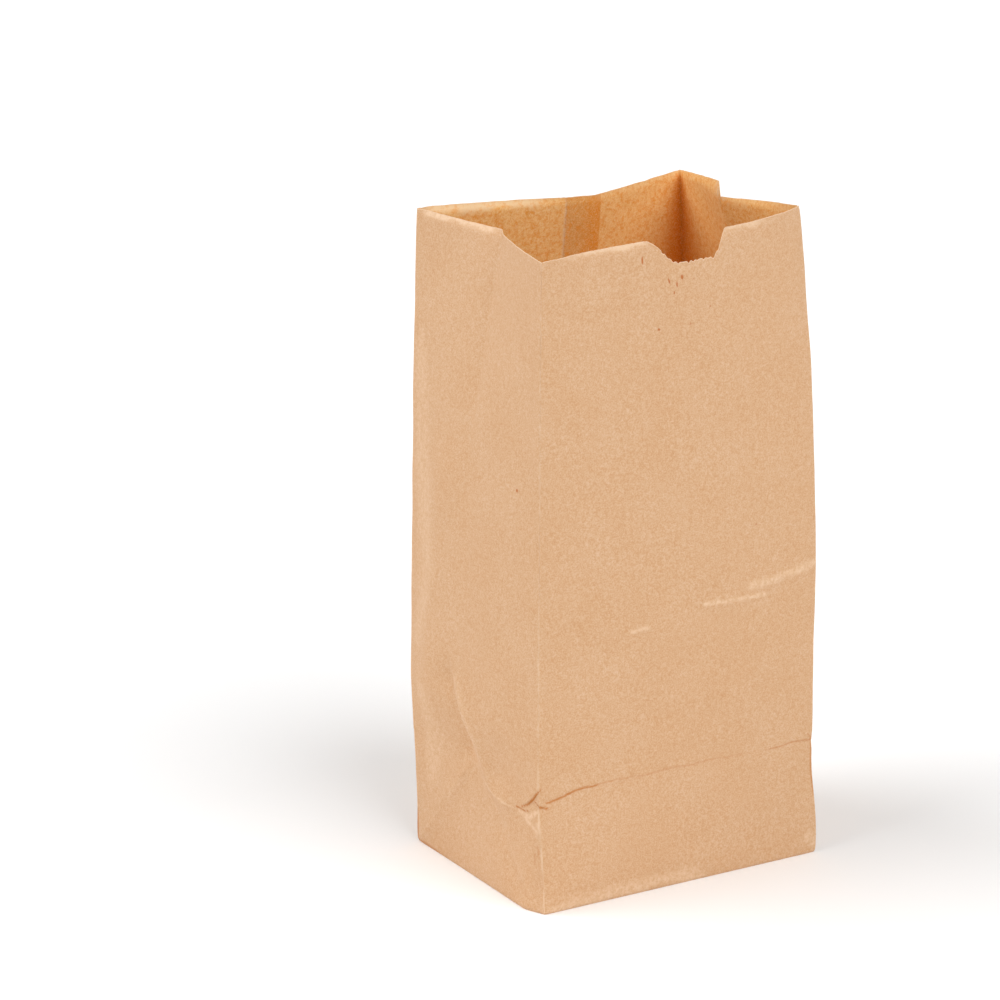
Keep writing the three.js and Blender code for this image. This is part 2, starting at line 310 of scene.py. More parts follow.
# folds where the sheet above stands over the sheet below: points, how far out, how far in, reach
STEPS = [
    ([(-13.5, 42.0), (-8.4, 44.2), (-3.8, 47.8), (1.8, 53.2)], 0.32, 0.34, 2.0),
    ([(-3.6, 46.6), (0.6, 45.2), (5.0, 44.2)], 0.2, 0.45, 1.4),
    ([(-17.5, 41.0), (-13, 40.6), (-7, 41.4)], 0.25, 0.4, 1.4),
    ([(0.6, 28.4), (-2.8, 24.9), (-5.4, 20.4)], 0.18, 0.25, 1.2),
    ([(2, 30.5), (6, 32.6), (9.5, 34.4)], 0.2, 0.25, 0.9),
]
# facets pushed in: corners, deepest point, depth
DENTS = [
    ([(-13.5, 40.8), (-0.5, 34.6), (7.5, 45.4), (1.6, 53.0)], (-3.4, 46.4), 0.55),
    ([(124.5, 46.5), (131.5, 43.2), (135, 50), (129.5, 52)], (130, 48), 0.3),
]


def step(u, z, points, over, under, reach):
    """A fold's cliff: the side above a line stands out by over, the side below is in by under."""
    nearest = np.full_like(u, FAR)
    height = np.zeros_like(u)
    last = len(points) - 1
    for i, (a, b) in enumerate(zip(points, points[1:])):
        gap, t = to_segment(u, z, a, b)
        side = (z - a[1]) * (b[0] - a[0]) - (u - a[0]) * (b[1] - a[1])
        fade = np.sin(np.pi * np.clip((i + t) / last, 0.02, 0.98)) ** 0.7
        level = np.where(side > 0, over, -under) * np.exp(-gap / reach) * fade
        height = np.where(gap < nearest, level, height)
        nearest = np.minimum(nearest, gap)
    return height


def fold_step(u, z):
    """The fold across the front and round the sides: the wall above stands over the base."""
    off = z - fold_height(u)
    front = (u > 0) & (u < WIDTH)
    faint = 1 - 0.65 * smooth(38, 62, u) * (1 - smooth(108, 122, u))
    corner = np.exp(-np.abs(u) / 20)
    over = np.where(front, 0.08 * faint + 0.05 * corner, 0.05)
    under = np.where(front, 0.15 * faint + 0.10 * corner, 0.10)
    here = smooth(0, 3, np.abs(u + 2)) * (1 - 0.9 * bell(u + 47, 22))
    return np.where(off > 0, over * np.exp(-off / 3.0), -under * np.exp(off / 2.2)) * here


# thin dark lines of painted shade in the creases and folds, pale scuffs and painted highlights on the
# outside, and painted highlights inside: points, half width, strength
SHADOW_LINES = [
    ([(-13.5, 41.8), (-8.2, 44.1), (-3.6, 47.6), (1.6, 53.0)], 0.6, 1.0),
    ([(-3.4, 46.4), (0.6, 45.0), (4.6, 44.1)], 0.6, 1.0),
    ([(-17.0, 40.8), (-13, 40.4), (-8, 41.1)], 0.6, 0.9),
    ([(3.5, 46.4), (9, 47.6), (16, 48.5)], 0.65, 0.9),
    ([(12, 48.6), (20, 49.2), (27, 49.5)], 0.65, 0.85),
    ([(26, 50.0), (38, 49.9)], 0.5, 0.4),
    ([(35, 49.6), (50, 49.6), (68, 49.7), (94, 49.3)], 0.6, 0.28),
    ([(0.2, 28), (-2.8, 24.9), (-5.2, 20.8)], 0.7, 0.5),
    ([(129.2, 49), (129.2, 38), (129.6, 24)], 0.8, 0.6),
    ([(106, 49.0), (120, 48.9), (131, 48.2)], 0.55, 0.5),
    ([(127.2, 51.2), (130, 48.2)], 0.6, 0.5),
    ([(-95.4, 12), (-95.4, 5), (-94.5, 0.5)], 1.7, 0.9),
    ([(-95, 1.0), (-86, 0.6), (-76, 0.8)], 1.0, 0.6),
]
SCUFFS_AND_HIGHLIGHTS = [
    # painted highlights below the crumple, where its facets face up
    ([(-16, 39.6), (-8, 38.6), (0, 43.6)], 1.7, 0.9),
    ([(-14, 38.8), (-7, 36.4), (0.4, 34.6)], 1.5, 0.9),
    # painted highlight along the ridge from the left gusset's apex to the corner
    ([(-40, 45), (-33, 40.9), (-25, 39.7), (-14, 39.6)], 0.8, 0.8),
    ([(-0.2, 45), (-1.4, 36), (-0.6, 26), (0.2, 12), (0.2, 0)], 0.7, 0.4),
    # painted light along the foot of the front and at its right corner
    ([(2, 1.5), (30, 2.5), (62, 4.0), (75, 1.5)], 4.0, 0.8),
    ([(124, 9), (129.5, 3)], 3.0, 0.7),
    # painted light on the back half of the left side
    ([(-90, 215), (-87, 170), (-80, 125), (-88, 88)], 12.0, 0.42),
    ([(-86, 72), (-78, 54), (-84, 28)], 10.0, 0.4),
    # painted highlight on the band beside the valley at the gusset's apex
    ([(-58, 84), (-50, 68), (-42, 52)], 6.0, 0.4),
]
# painted highlights on edges that catch the light inside
INSIDE_HIGHLIGHTS = [
    ([(235.6, 264), (236.2, 257), (236, 250)], 0.8, 1.0),
    ([(287.3, 262), (287.3, 245), (287.3, 225)], 1.0, 0.9),
    ([(178.6, 270), (178.2, 262), (172, 260.4)], 1.3, 1.0),
    ([(178.4, 270), (181.5, 264), (180, 261)], 1.0, 1.0),
]


def drawn(u, z, lines):
    """1 on thin tapering lines, falling to 0 at their half width."""
    shift = 0.3 * np.sin(u * 0.31 + 1.3 * np.sin(z * 0.23))
    out = np.zeros_like(u)
    for points, width, strength in lines:
        last = len(points) - 1
        for i, (a, b) in enumerate(zip(points, points[1:])):
            gap, t = to_segment(u, z + shift, a, b)
            taper = 0.35 + 0.65 * np.sin(np.pi * (i + t) / last) ** 0.6
            out = np.maximum(out, strength * smooth(1, 0.2, gap / (width * taper)))
    return out


def lip_light(u, below):
    """Pale bands along the outside of the mouth, where the lip bends over to face upwards."""
    front = 0.85 * smooth(10, 24, u) * (1 - smooth(47, 52, u))
    front += 0.7 * smooth(84, 87, u) * (1 - smooth(100, 112, u))
    left = 0.9 * smooth(-95, -88, u) * (1 - smooth(-56, -49, u))
    width = np.where(u > 0, 1.7, 2.3) + 0.4 * np.sin(u / 5) + 0.3 * np.sin(u / 1.9)
    return np.where(u > 0, front, left) * smooth(width, width * 0.45, below)


def lip_light_inside(u, below):
    """The same inside, on the back panel and the right side."""
    back = smooth(288, 306, u) + 0.3 * (1 - smooth(270, 280, u))
    back = np.where(u > U_BACK, back, 0)
    right = 0.3 * smooth(132, 140, u) * (1 - smooth(168, 176, u))
    width = 3.0 + 1.1 * smooth(300, 340, u) + 0.9 * np.sin(u / 4.3) + 0.5 * np.sin(u / 1.7)
    return (back + right) * smooth(width * 1.15, width * 0.4, below)


def corner_shade(u, below):
    """The narrow back right corner is dark inside, and more so further down."""
    wide = np.where(u > U_BACK, 1.5 + 0.30 * below, 2.2 + 0.40 * below)
    fan = np.exp(-np.abs((u - U_BACK) / wide) ** 2.6) * smooth(0, 3, below)
    # painted shade on the inside of the right side as well
    gusset = 0.16 * smooth(U_BACK, U_BACK - 8, u) * smooth(U_RIGHT, U_RIGHT + 20, u)
    return np.maximum(fan, gusset)


def waves(u, z):
    """Low seeded waviness that closes on itself round the bag."""
    draw = np.random.default_rng(7)     # waves round the bag, waves up it, and size
    out = np.zeros_like(u)
    for n, m, size in [(3, 1, 0.16), (5, 2, 0.13), (7, 1, 0.10), (8, 4, 0.08), (11, 3, 0.07),
                       (14, 6, 0.05), (19, 7, 0.035), (24, 10, 0.03), (31, 13, 0.02), (37, 9, 0.02)]:
        tilt = draw.choice([-1, 1])
        out += size * np.sin(2 * np.pi * (n * u / ROUND + tilt * m * z / HEIGHT) + draw.uniform(0, 6.3))
    return out


def lip_lean(u):
    """How far the last few millimetres below the cut lean out, in millimetres."""
    front = -1.5 * smooth(8, 20, u) * (1 - smooth(110, 126, u)) - 0.3
    front *= 1 - 0.85 * smooth(50, 56, u) * (1 - smooth(82, 87, u))
    left = -1.1 * smooth(-96, -88, u) * (1 - smooth(-52, -44, u)) - 0.1
    right = mix(-0.2, 0.6, smooth(134, 150, u))
    back = mix(0.5, 1.6, smooth(285, 312, u)) * (1 - smooth(346, 356, u))
    return np.where(u < 0, left, np.where(u < U_RIGHT, front, np.where(u < U_BACK, right, back)))


LIP_DEPTH = 3.4             # the sheet leans over this far below the cut
FOOT_ROUND = 0.6


def relief(u, z, below):
    """Everything finer than the panels' own curves; below is the distance under the cut."""
    out = waves(u, z) * smooth(0, 14, z) * (0.4 + 0.6 * smooth(0, 10, below))
    out += fold_step(u, z)
    for points, width, size, sharp in WRINKLES:
        out += size * line(u, z, points, width, sharp)
    for points, over, under, reach in STEPS:
        out += step(u, z, points, over, under, reach)
    for corners, peak, depth in DENTS:
        out -= depth * pyramid(u, z, corners, peak)
    out += lip_lean(u) * smooth(LIP_DEPTH, 0, below) ** 1.5
    out -= FOOT_ROUND * np.exp(-z / FOOT_ROUND)     # the wall turns in at the very bottom
    return out


# ---- the wall as a grid of points, rows by columns --------------------------------------
def rounding(crease, z):
    """How far a crease is rounded over, and over what length of sheet to each side."""
    if IS_GUSSET[crease % SIDES]:
        # opened out flat where the side stands out, and creased again at the mouth
        reach = 1.2 + 15 * smooth(52, 84, z) * (1 - smooth(170, 225, z))
        return reach / 2, reach
    return 0.16 + 0.22 * np.exp(-z / 4), 1.0 + 0.6 * np.exp(-z / 4)


def base_surface(k, s, z):
    """The panels between their creases, with the corners rounded over. Shapes: z is rows x columns."""
    points = np.zeros(z.shape + (3,))
    for panel in range(SIDES):
        at = k == panel
        zz = z[:, at]
        bow, _, length, _, _ = PANELS[panel]
        before, start, end, after = [CREASES[(panel + i) % SIDES](zz) for i in (-1, 0, 1, 2)]
        f = np.broadcast_to(s[at] / length, zz.shape)
        run = unit(end - start)
        out = np.stack([run[..., 1], -run[..., 0]], -1)
        flat = mix(start, end, f[..., None]) + out * bow(f, zz)[..., None]
        size, reach = rounding(panel, zz)
        near = size * np.exp(-f * length / reach)
        size, reach = rounding(panel + 1, zz)
        far = size * np.exp(-(1 - f) * length / reach)
        flat += (run + unit(before - start)) * near[..., None]
        flat += (unit(after - end) - run) * far[..., None]
        points[:, at, :2] = flat
        points[:, at, 2] = zz
    return points


def normals(points):
    """Outward normals of a grid that closes on itself round its columns."""
    du = np.roll(points, -1, 1) - np.roll(points, 1, 1)
    dv = np.gradient(points, axis=0)
    return unit(np.cross(du, dv))


def row_heights():
    """Heights of the rows below the band, and places from 0 to 1 of those in it."""
    low = spread(BAND_Z, 3.8, [(0, 0.5, 1.5), (FOLD_Z, 0.55, 3), (44, 0.75, 7), (117, 1.3, 5)])
    band = 1 - (1 - np.linspace(0, 1, 21)[1:]) ** 1.35
    return low, band


def wall():
    k, s, u, outer, inner = columns()
    cut = np.zeros_like(s)
    for panel, (_, cut_of, length, _, _) in enumerate(PANELS):
        cut[k == panel] = cut_of(s[k == panel] / length)
    low, band = row_heights()
    z = np.concatenate([np.repeat(low[:, None], len(s), 1), BAND_Z + band[:, None] * (cut - BAND_Z)])
    below = cut - z
    uu = np.broadcast_to(u, z.shape)
    points = base_surface(k, s, z)
    points += normals(points) * relief(uu, z, below)[..., None]
    out = normals(points)
    outside = points - out * (outer * PAPER)[:, None]
    inside = points - out * (inner * PAPER)[:, None]
    outside[0, :, 2] = 0
    floor = FLOOR_LAYERS * PAPER
    inside[..., 2] = np.maximum(inside[..., 2], floor + 0.02 * np.arange(len(z))[:, None])
    inside[0, :, 2] = floor
    return {"u": u, "z": z, "below": below, "outside": outside, "inside": inside}


# ---- mesh -------------------------------------------------------------------------------
BASE_BELOW = 260.0          # how far the base lies under the cut


def build_bag():
    """The wall's two faces, the cut between them and the base, as one closed mesh."""
    grid = wall()
    rows, cols = grid["z"].shape
    lap = LAP_HALF / HALF_D
    foot = grid["inside"][0] * [LAP_REACH, lap, 0] + [0, 0, FLOOR_LAYERS * PAPER]
    top = grid["inside"][0] * [LAP_REACH, lap - 0.002, 0] + [0, 0, LAP_LAYERS * PAPER]
    sole = grid["outside"][0] * [0.9, 0.9, 0]
    blocks = [grid["outside"], grid["inside"], foot[None], top[None], sole[None]]
    middles = [[0, 0, LAP_LAYERS * PAPER], [0, 0, 0]]
    points = np.concatenate([b.reshape(-1, 3) for b in blocks] + [middles])
    ids, start = [], 0
    for b in blocks:
        count = b.shape[0] * cols
        ids.append(np.arange(start, start + count).reshape(-1, cols))
        start += count
    outside, inside, foot, top, sole = ids
    top_mid, sole_mid = start, start + 1

    # each cell is split along its shorter diagonal, the same way in both faces of the sheet
    spot = grid["outside"]
    rising = np.linalg.norm(np.roll(spot, -1, 1)[1:] - spot[:-1], axis=-1)
    falling = np.linalg.norm(np.roll(spot, -1, 1)[:-1] - spot[1:], axis=-1)
    split = rising < falling

    def strip(lower, upper, split):
        """Two triangles for each cell between two loops, or between each two rows of a grid."""
        a, b, c, d = lower, np.roll(lower, -1, -1), np.roll(upper, -1, -1), upper
        split = split[..., None]
        first = np.where(split, np.stack([a, b, c], -1), np.stack([a, b, d], -1))
        second = np.where(split, np.stack([a, c, d], -1), np.stack([b, c, d], -1))
        return np.concatenate([first.reshape(-1, 3), second.reshape(-1, 3)])

    level = np.ones(cols, dtype=bool)
    faces = np.concatenate([
        strip(outside[:-1], outside[1:], split),
        strip(inside[:-1], inside[1:], split)[:, ::-1],
        strip(outside[-1], inside[-1], level),
        strip(inside[0], foot[0], level),
        strip(foot[0], top[0], level),
        strip(outside[0], sole[0], level)[:, ::-1],
    ])
    caps = np.concatenate([
        np.stack([top[0], np.roll(top[0], -1), np.full(cols, top_mid)], -1),
        np.stack([np.roll(sole[0], -1), sole[0], np.full(cols, sole_mid)], -1),
    ])
    mesh = bpy.data.meshes.new("paper_lunch_bag")
    mesh.from_pydata((points * MM).tolist(), [], np.concatenate([faces, caps]).tolist())

    # the sheet's own coordinates, in millimetres, on each corner of each face
    u = np.concatenate([np.tile(grid["u"], rows * 2), np.tile(grid["u"], 3), [0, 0]])
    z = np.concatenate([grid["z"].ravel(), grid["z"].ravel(), np.zeros(3 * cols + 2)])
    corner = np.zeros(len(mesh.loops), dtype=np.int32)
    mesh.loops.foreach_get("vertex_index", corner)
    cu = u[corner]
    face = np.repeat(np.arange(len(mesh.polygons)), [len(p.vertices) for p in mesh.polygons])
    high = np.full(len(mesh.polygons), -FAR)
    np.maximum.at(high, face, cu)
    # a face that spans the end of the sheet takes the end's coordinate for its first column
    cu = np.where((high[face] > U_BACK + WIDTH / 2) & (cu < 0), cu + ROUND, cu)
    layer = mesh.uv_layers.new(name="sheet")
    layer.data.foreach_set("uv", (np.stack([cu, z[corner]], -1) * MM).ravel())

    # masks for the paper's colour; base is the rows of the base and its two middles
    uu, zz, below = np.broadcast_to(grid["u"], grid["z"].shape), grid["z"], grid["below"]
    wall_size, base_size = rows * cols, 3 * cols + 2
    none, base = np.zeros(wall_size), np.zeros(base_size)
    inner_base = np.concatenate([np.ones(2 * cols), np.zeros(cols), [1, 0]])
    for name, outer, inner, rest in (
            ("within", none, np.ones(wall_size), inner_base),
            ("scuff_and_highlight", drawn(uu, zz, SCUFFS_AND_HIGHLIGHTS), drawn(uu, zz, INSIDE_HIGHLIGHTS), base),
            ("shadow_line", drawn(uu, zz, SHADOW_LINES), none, base),
            ("lip", lip_light(uu, below), lip_light_inside(uu, below), base),
            ("deep", none, corner_shade(uu, below), base),
            ("below", below, below, np.full(base_size, BASE_BELOW))):
        values = np.concatenate([outer.ravel(), inner.ravel(), rest]).astype(np.float32)
        mesh.attributes.new(name, "FLOAT", "POINT").data.foreach_set("value", values)

    # the cut of the mouth and the foot of the wall are sharp edges
    hard = np.zeros(len(points), dtype=np.int8)
    for group, loop in enumerate((outside[-1], inside[-1], outside[0], inside[0], foot[0], top[0]), 1):
        hard[loop] = group
    ends = np.zeros(len(mesh.edges) * 2, dtype=np.int32)
    mesh.edges.foreach_get("vertices", ends)
    a, b = hard[ends].reshape(-1, 2).T
    mesh.edges.foreach_set("use_edge_sharp", (a > 0) & (a == b))
    mesh.polygons.foreach_set("use_smooth", np.ones(len(mesh.polygons), dtype=bool))
    mesh.update()
    mesh.validate()
    bag = bpy.data.objects.new("paper_lunch_bag", mesh)
    bpy.context.collection.objects.link(bag)
    return bag


# ---- material ---------------------------------------------------------------------------
def linear(rgb):
    """sRGB from 0 to 255, as linear light."""
    return [((c / 255 + 0.055) / 1.055) ** 2.4 if c > 10 else c / 255 / 12.92 for c in rgb] + [1.0]


class Nodes:
    """A short way to write a node tree."""

    def __init__(self, name):
        self.material = bpy.data.materials.new(name)
        self.material.use_nodes = True
        self.tree = self.material.node_tree
        self.tree.nodes.clear()

    def add(self, kind, links=(), **settings):
        node = self.tree.nodes.new("ShaderNode" + kind)
        for key, value in settings.items():
            if hasattr(node, key):
                setattr(node, key, value)
            else:
                node.inputs[key].default_value = value
        for socket, source in dict(links).items():
            self.tree.links.new(source, node.inputs[socket])
        return node

    def feed(self, socket, value):
        """Set a socket to a number or colour, or link it to another node's output."""
        if isinstance(value, (int, float, tuple, list)):
            socket.default_value = value
        else:
            self.tree.links.new(value, socket)

    def attribute(self, name):
        return self.add("Attribute", attribute_name=name).outputs["Fac"]

    def colour(self, rgb):
        node = self.add("RGB")
        node.outputs[0].default_value = linear(rgb)
        return node.outputs[0]

    def math(self, operation, *values, clamp=False):
        node = self.tree.nodes.new("ShaderNodeMath")
        node.operation = operation
        node.use_clamp = clamp
        for i, value in enumerate(values):
            self.feed(node.inputs[i], value)
        return node.outputs[0]

    def times(self, *values):
        """The product of two or more values."""
        out = values[0]
        for value in values[1:]:
            out = self.math("MULTIPLY", out, value)
        return out

    def vector(self, operation, *values, out=0, scale=None):
        node = self.tree.nodes.new("ShaderNodeVectorMath")
        node.operation = operation
        for i, value in enumerate(values):
            self.feed(node.inputs[i], value)
        if scale is not None:
            self.feed(node.inputs["Scale"], scale)
        return node.outputs[out]

    def ramp(self, value, low, high, a=0.0, b=1.0):
        """An eased run from a to b as the value goes from low to high."""
        node = self.tree.nodes.new("ShaderNodeMapRange")
        node.interpolation_type = "SMOOTHSTEP"
        self.tree.links.new(value, node.inputs["Value"])
        for key, number in (("From Min", low), ("From Max", high), ("To Min", a), ("To Max", b)):
            node.inputs[key].default_value = number
        return node.outputs["Result"]

    def tint(self, colour, rgb, amount=1.0, blend="MIX"):
        node = self.tree.nodes.new("ShaderNodeMix")
        node.data_type = "RGBA"
        node.blend_type = blend
        node.clamp_factor = True
        # the sockets of a Mix node that are in use when it mixes colours
        for socket, value in ((0, amount), (6, colour), (7, rgb)):
            self.feed(node.inputs[socket], value)
        return node.outputs[2]

    def noise(self, place, scale, detail=2.0, rough=0.5, distort=0.0):
        node = self.tree.nodes.new("ShaderNodeTexNoise")
        self.tree.links.new(place, node.inputs["Vector"])
        node.inputs["Scale"].default_value = scale
        node.inputs["Detail"].default_value = detail
        node.inputs["Roughness"].default_value = rough
        node.inputs["Distortion"].default_value = distort
        return node.outputs[0]

    def stretched(self, place, sizes):
        node = self.tree.nodes.new("ShaderNodeMapping")
        self.tree.links.new(place, node.inputs["Vector"])
        node.inputs["Scale"].default_value = sizes
        return node.outputs[0]


def near_line(n, sheet, points, width):
    """1 on a line of points on the sheet, falling to 0 at width from it."""
    nearest = None
    for a, b in zip(points, points[1:]):
        run = (b[0] - a[0], b[1] - a[1], 0.0)
        rel = n.vector("SUBTRACT", sheet, (a[0], a[1], 0.0))
        dot = n.vector("DOT_PRODUCT", rel, run, out=1)
        t = n.math("DIVIDE", dot, run[0] ** 2 + run[1] ** 2, clamp=True)
        gap = n.vector("LENGTH", n.vector("SUBTRACT", rel, n.vector("SCALE", run, scale=t)), out=1)
        nearest = gap if nearest is None else n.math("MINIMUM", nearest, gap)
    return n.ramp(nearest, width, 0.0)


def near_spot(n, sheet, place, size):
    """1 in the middle of an oval spot on the sheet, falling to 0 at its edge."""
    rel = n.vector("SUBTRACT", sheet, (place[0], place[1], 0.0))
    scaled = n.vector("MULTIPLY", rel, (1 / size[0], 1 / size[1], 0.0))
    return n.ramp(n.vector("LENGTH", scaled, out=1), 1.0, 0.35)


# colours of the paper itself, as sRGB from 0 to 255
KRAFT = (205, 165, 128)      # outside
PALE = (230, 199, 167)       # broken fibres on creases, scuffs and the cut edge, and painted highlights on the lips and on facets that face the light
DARK = (176, 94, 34)         # specks and flecks of bark
SHADOW_LINE = (178, 104, 30)       # painted shade in the creases of the crumple and of the fold, and a painted shadow beside the seam's cut edge
# lighter and more orange than the outside: painted light that stands in for light shining through the
# paper
INSIDE = (244, 195, 126)
SEAM = (226, 170, 100)       # the lap of the seam, inside: painted shade, as less light comes through two layers
DEEP = (232, 146, 22)        # where light reaches only by way of other paper, inside
# painted highlights along the lip inside, and light spots of the grain
PALE_INSIDE = (240, 210, 168)

# pale buckles across the front: points on the sheet and half width
BUCKLES = [
    ([(131, 122.6), (120, 121.2), (108.6, 119.9), (97, 119.4)], 2.9),
    ([(103, 114.6), (90, 115.0), (75, 115.8)], 1.6),
    ([(49, 110.9), (41.5, 110.4)], 1.4),
]
# specks: place on the sheet, and half width and half height
SPECKS = [
    ((47.2, 258), (0.6, 2.4)), ((64.6, 249.2), (0.8, 1.2)), ((62.3, 246.6), (0.6, 1.5)),
    ((58.8, 248.2), (0.45, 1.5)), ((54, 229.8), (0.8, 0.8)), ((-14.3, 170.7), (0.8, 1.1)),
    ((61.0, 243.6), (0.4, 0.9)), ((77, 236), (0.4, 0.7)),
]


def shade(n, colour, value, low, high, dark, light):
    """Multiply by dark where the value is low and by light where it is high; blue moves most."""
    level = n.ramp(value, low, high, dark - 1, light - 1)
    red, green, blue = [n.math("MULTIPLY_ADD", level, part, 1.0) for part in (0.45, 1.0, 1.8)]
    tone = n.add("CombineColor", {"Red": red, "Green": green, "Blue": blue}).outputs[0]
    return n.tint(colour, tone, blend="MULTIPLY")


def two_faces(n, u, z, within):
    """The colour of the outside, and of the inside with painted light through the paper, painted shade
    on its seam and its dark corner.
    """
    first, last = U_BACK + SEAM_FROM, U_BACK + SEAM_TO
    colour = n.tint(n.colour(KRAFT), linear(INSIDE), within)
    seam = n.times(n.ramp(u, first - 0.3, first + 0.3), n.ramp(u, last + 0.3, last - 0.3),
                   within, n.ramp(z, 0.4, 1.2))
    colour = n.tint(colour, linear(SEAM), seam)
    # painted shade over the lap, darker towards its first edge
    colour = n.tint(colour, linear(DEEP), n.times(seam, n.ramp(u, last - 3, first, 0.0, 0.6)))
    return n.tint(colour, linear(DEEP), n.times(n.attribute("deep"), 0.92))


def flecks_and_specks(n, colour, place, drawn, outside):
    """Dark flecks of bark, few and small, and the larger specks that the outside has."""
    cells = n.add("TexVoronoi", {"Vector": place}, Scale=95.0)
    pick = n.add("SeparateColor", {"Color": cells.outputs["Color"]}).outputs[0]
    fleck = n.times(n.ramp(cells.outputs["Distance"], 0.055, 0.02), n.ramp(pick, 0.80, 0.83))
    colour = n.tint(colour, linear(DARK), n.times(fleck, 0.55))
    for spot, size in SPECKS:
        colour = n.tint(colour, linear(DARK), n.times(near_spot(n, drawn, spot, size), outside, 0.85))
    return colour


def long_creases(n, colour, place, near_u, z, outside):
    """Light along the creases that run up the outside, and the seam's cut edge on the back with a thin
    painted shadow at the foot of its step.
    """
    crease = None
    for at in (U_START, 0.0, U_RIGHT, U_BACK, U_BACK + WIDTH):
        mask = n.ramp(n.math("ABSOLUTE", n.math("SUBTRACT", near_u, at)), 0.75, 0.1)
        crease = mask if crease is None else n.math("MAXIMUM", crease, mask)
    broken = n.ramp(n.noise(place, 130.0, 3.0), 0.40, 0.64, 0.25, 0.9)
    crease = n.times(crease, broken, outside, n.ramp(z, 60.0, 40.0, 0.7, 1.0))
    colour = n.tint(colour, linear(PALE), n.times(crease, 0.65))
    # the seam's cut edge: a thin painted shadow at the foot of its step, and the pale edge beside it
    lap = n.math("SUBTRACT", near_u, U_BACK + SEAM_FROM)
    dark = n.ramp(n.math("ABSOLUTE", n.math("ADD", lap, 0.35)), 0.5, 0.1)
    pale = n.ramp(n.math("ABSOLUTE", n.math("SUBTRACT", lap, 0.3)), 0.4, 0.1)
    colour = n.tint(colour, linear(SHADOW_LINE), n.times(dark, outside, 0.5))
    return n.tint(colour, linear(PALE), n.times(pale, outside, 0.7))


def rubbed_and_lit(n, drawn, near_u, z, clumps, outside):
    """Where the sheet is pale: rubbed scuffs, painted highlights where facets face the light, buckles
    and the diagonal folds of the base.
    """
    scuff_and_highlight = n.attribute("scuff_and_highlight")
    for points, width in BUCKLES:
        scuff_and_highlight = n.math("MAXIMUM", scuff_and_highlight, near_line(n, drawn, points, width))
    # a diagonal runs where the height is the distance from the nearer edge of its side panel
    left, right = [
        n.math("SUBTRACT", HALF_D, n.math("ABSOLUTE", n.math("SUBTRACT", near_u, middle)))
        for middle in (-HALF_D, U_RIGHT + HALF_D)]
    off = n.math("ABSOLUTE", n.math("SUBTRACT", n.math("MAXIMUM", left, right), z))
    diagonal = n.times(n.ramp(off, 1.1, 0.2, 0.0, 0.25), n.ramp(z, 47.0, 40.0), outside)
    return n.times(n.math("MAXIMUM", scuff_and_highlight, diagonal), n.ramp(clumps, 0.36, 0.62, 0.4, 1.0))


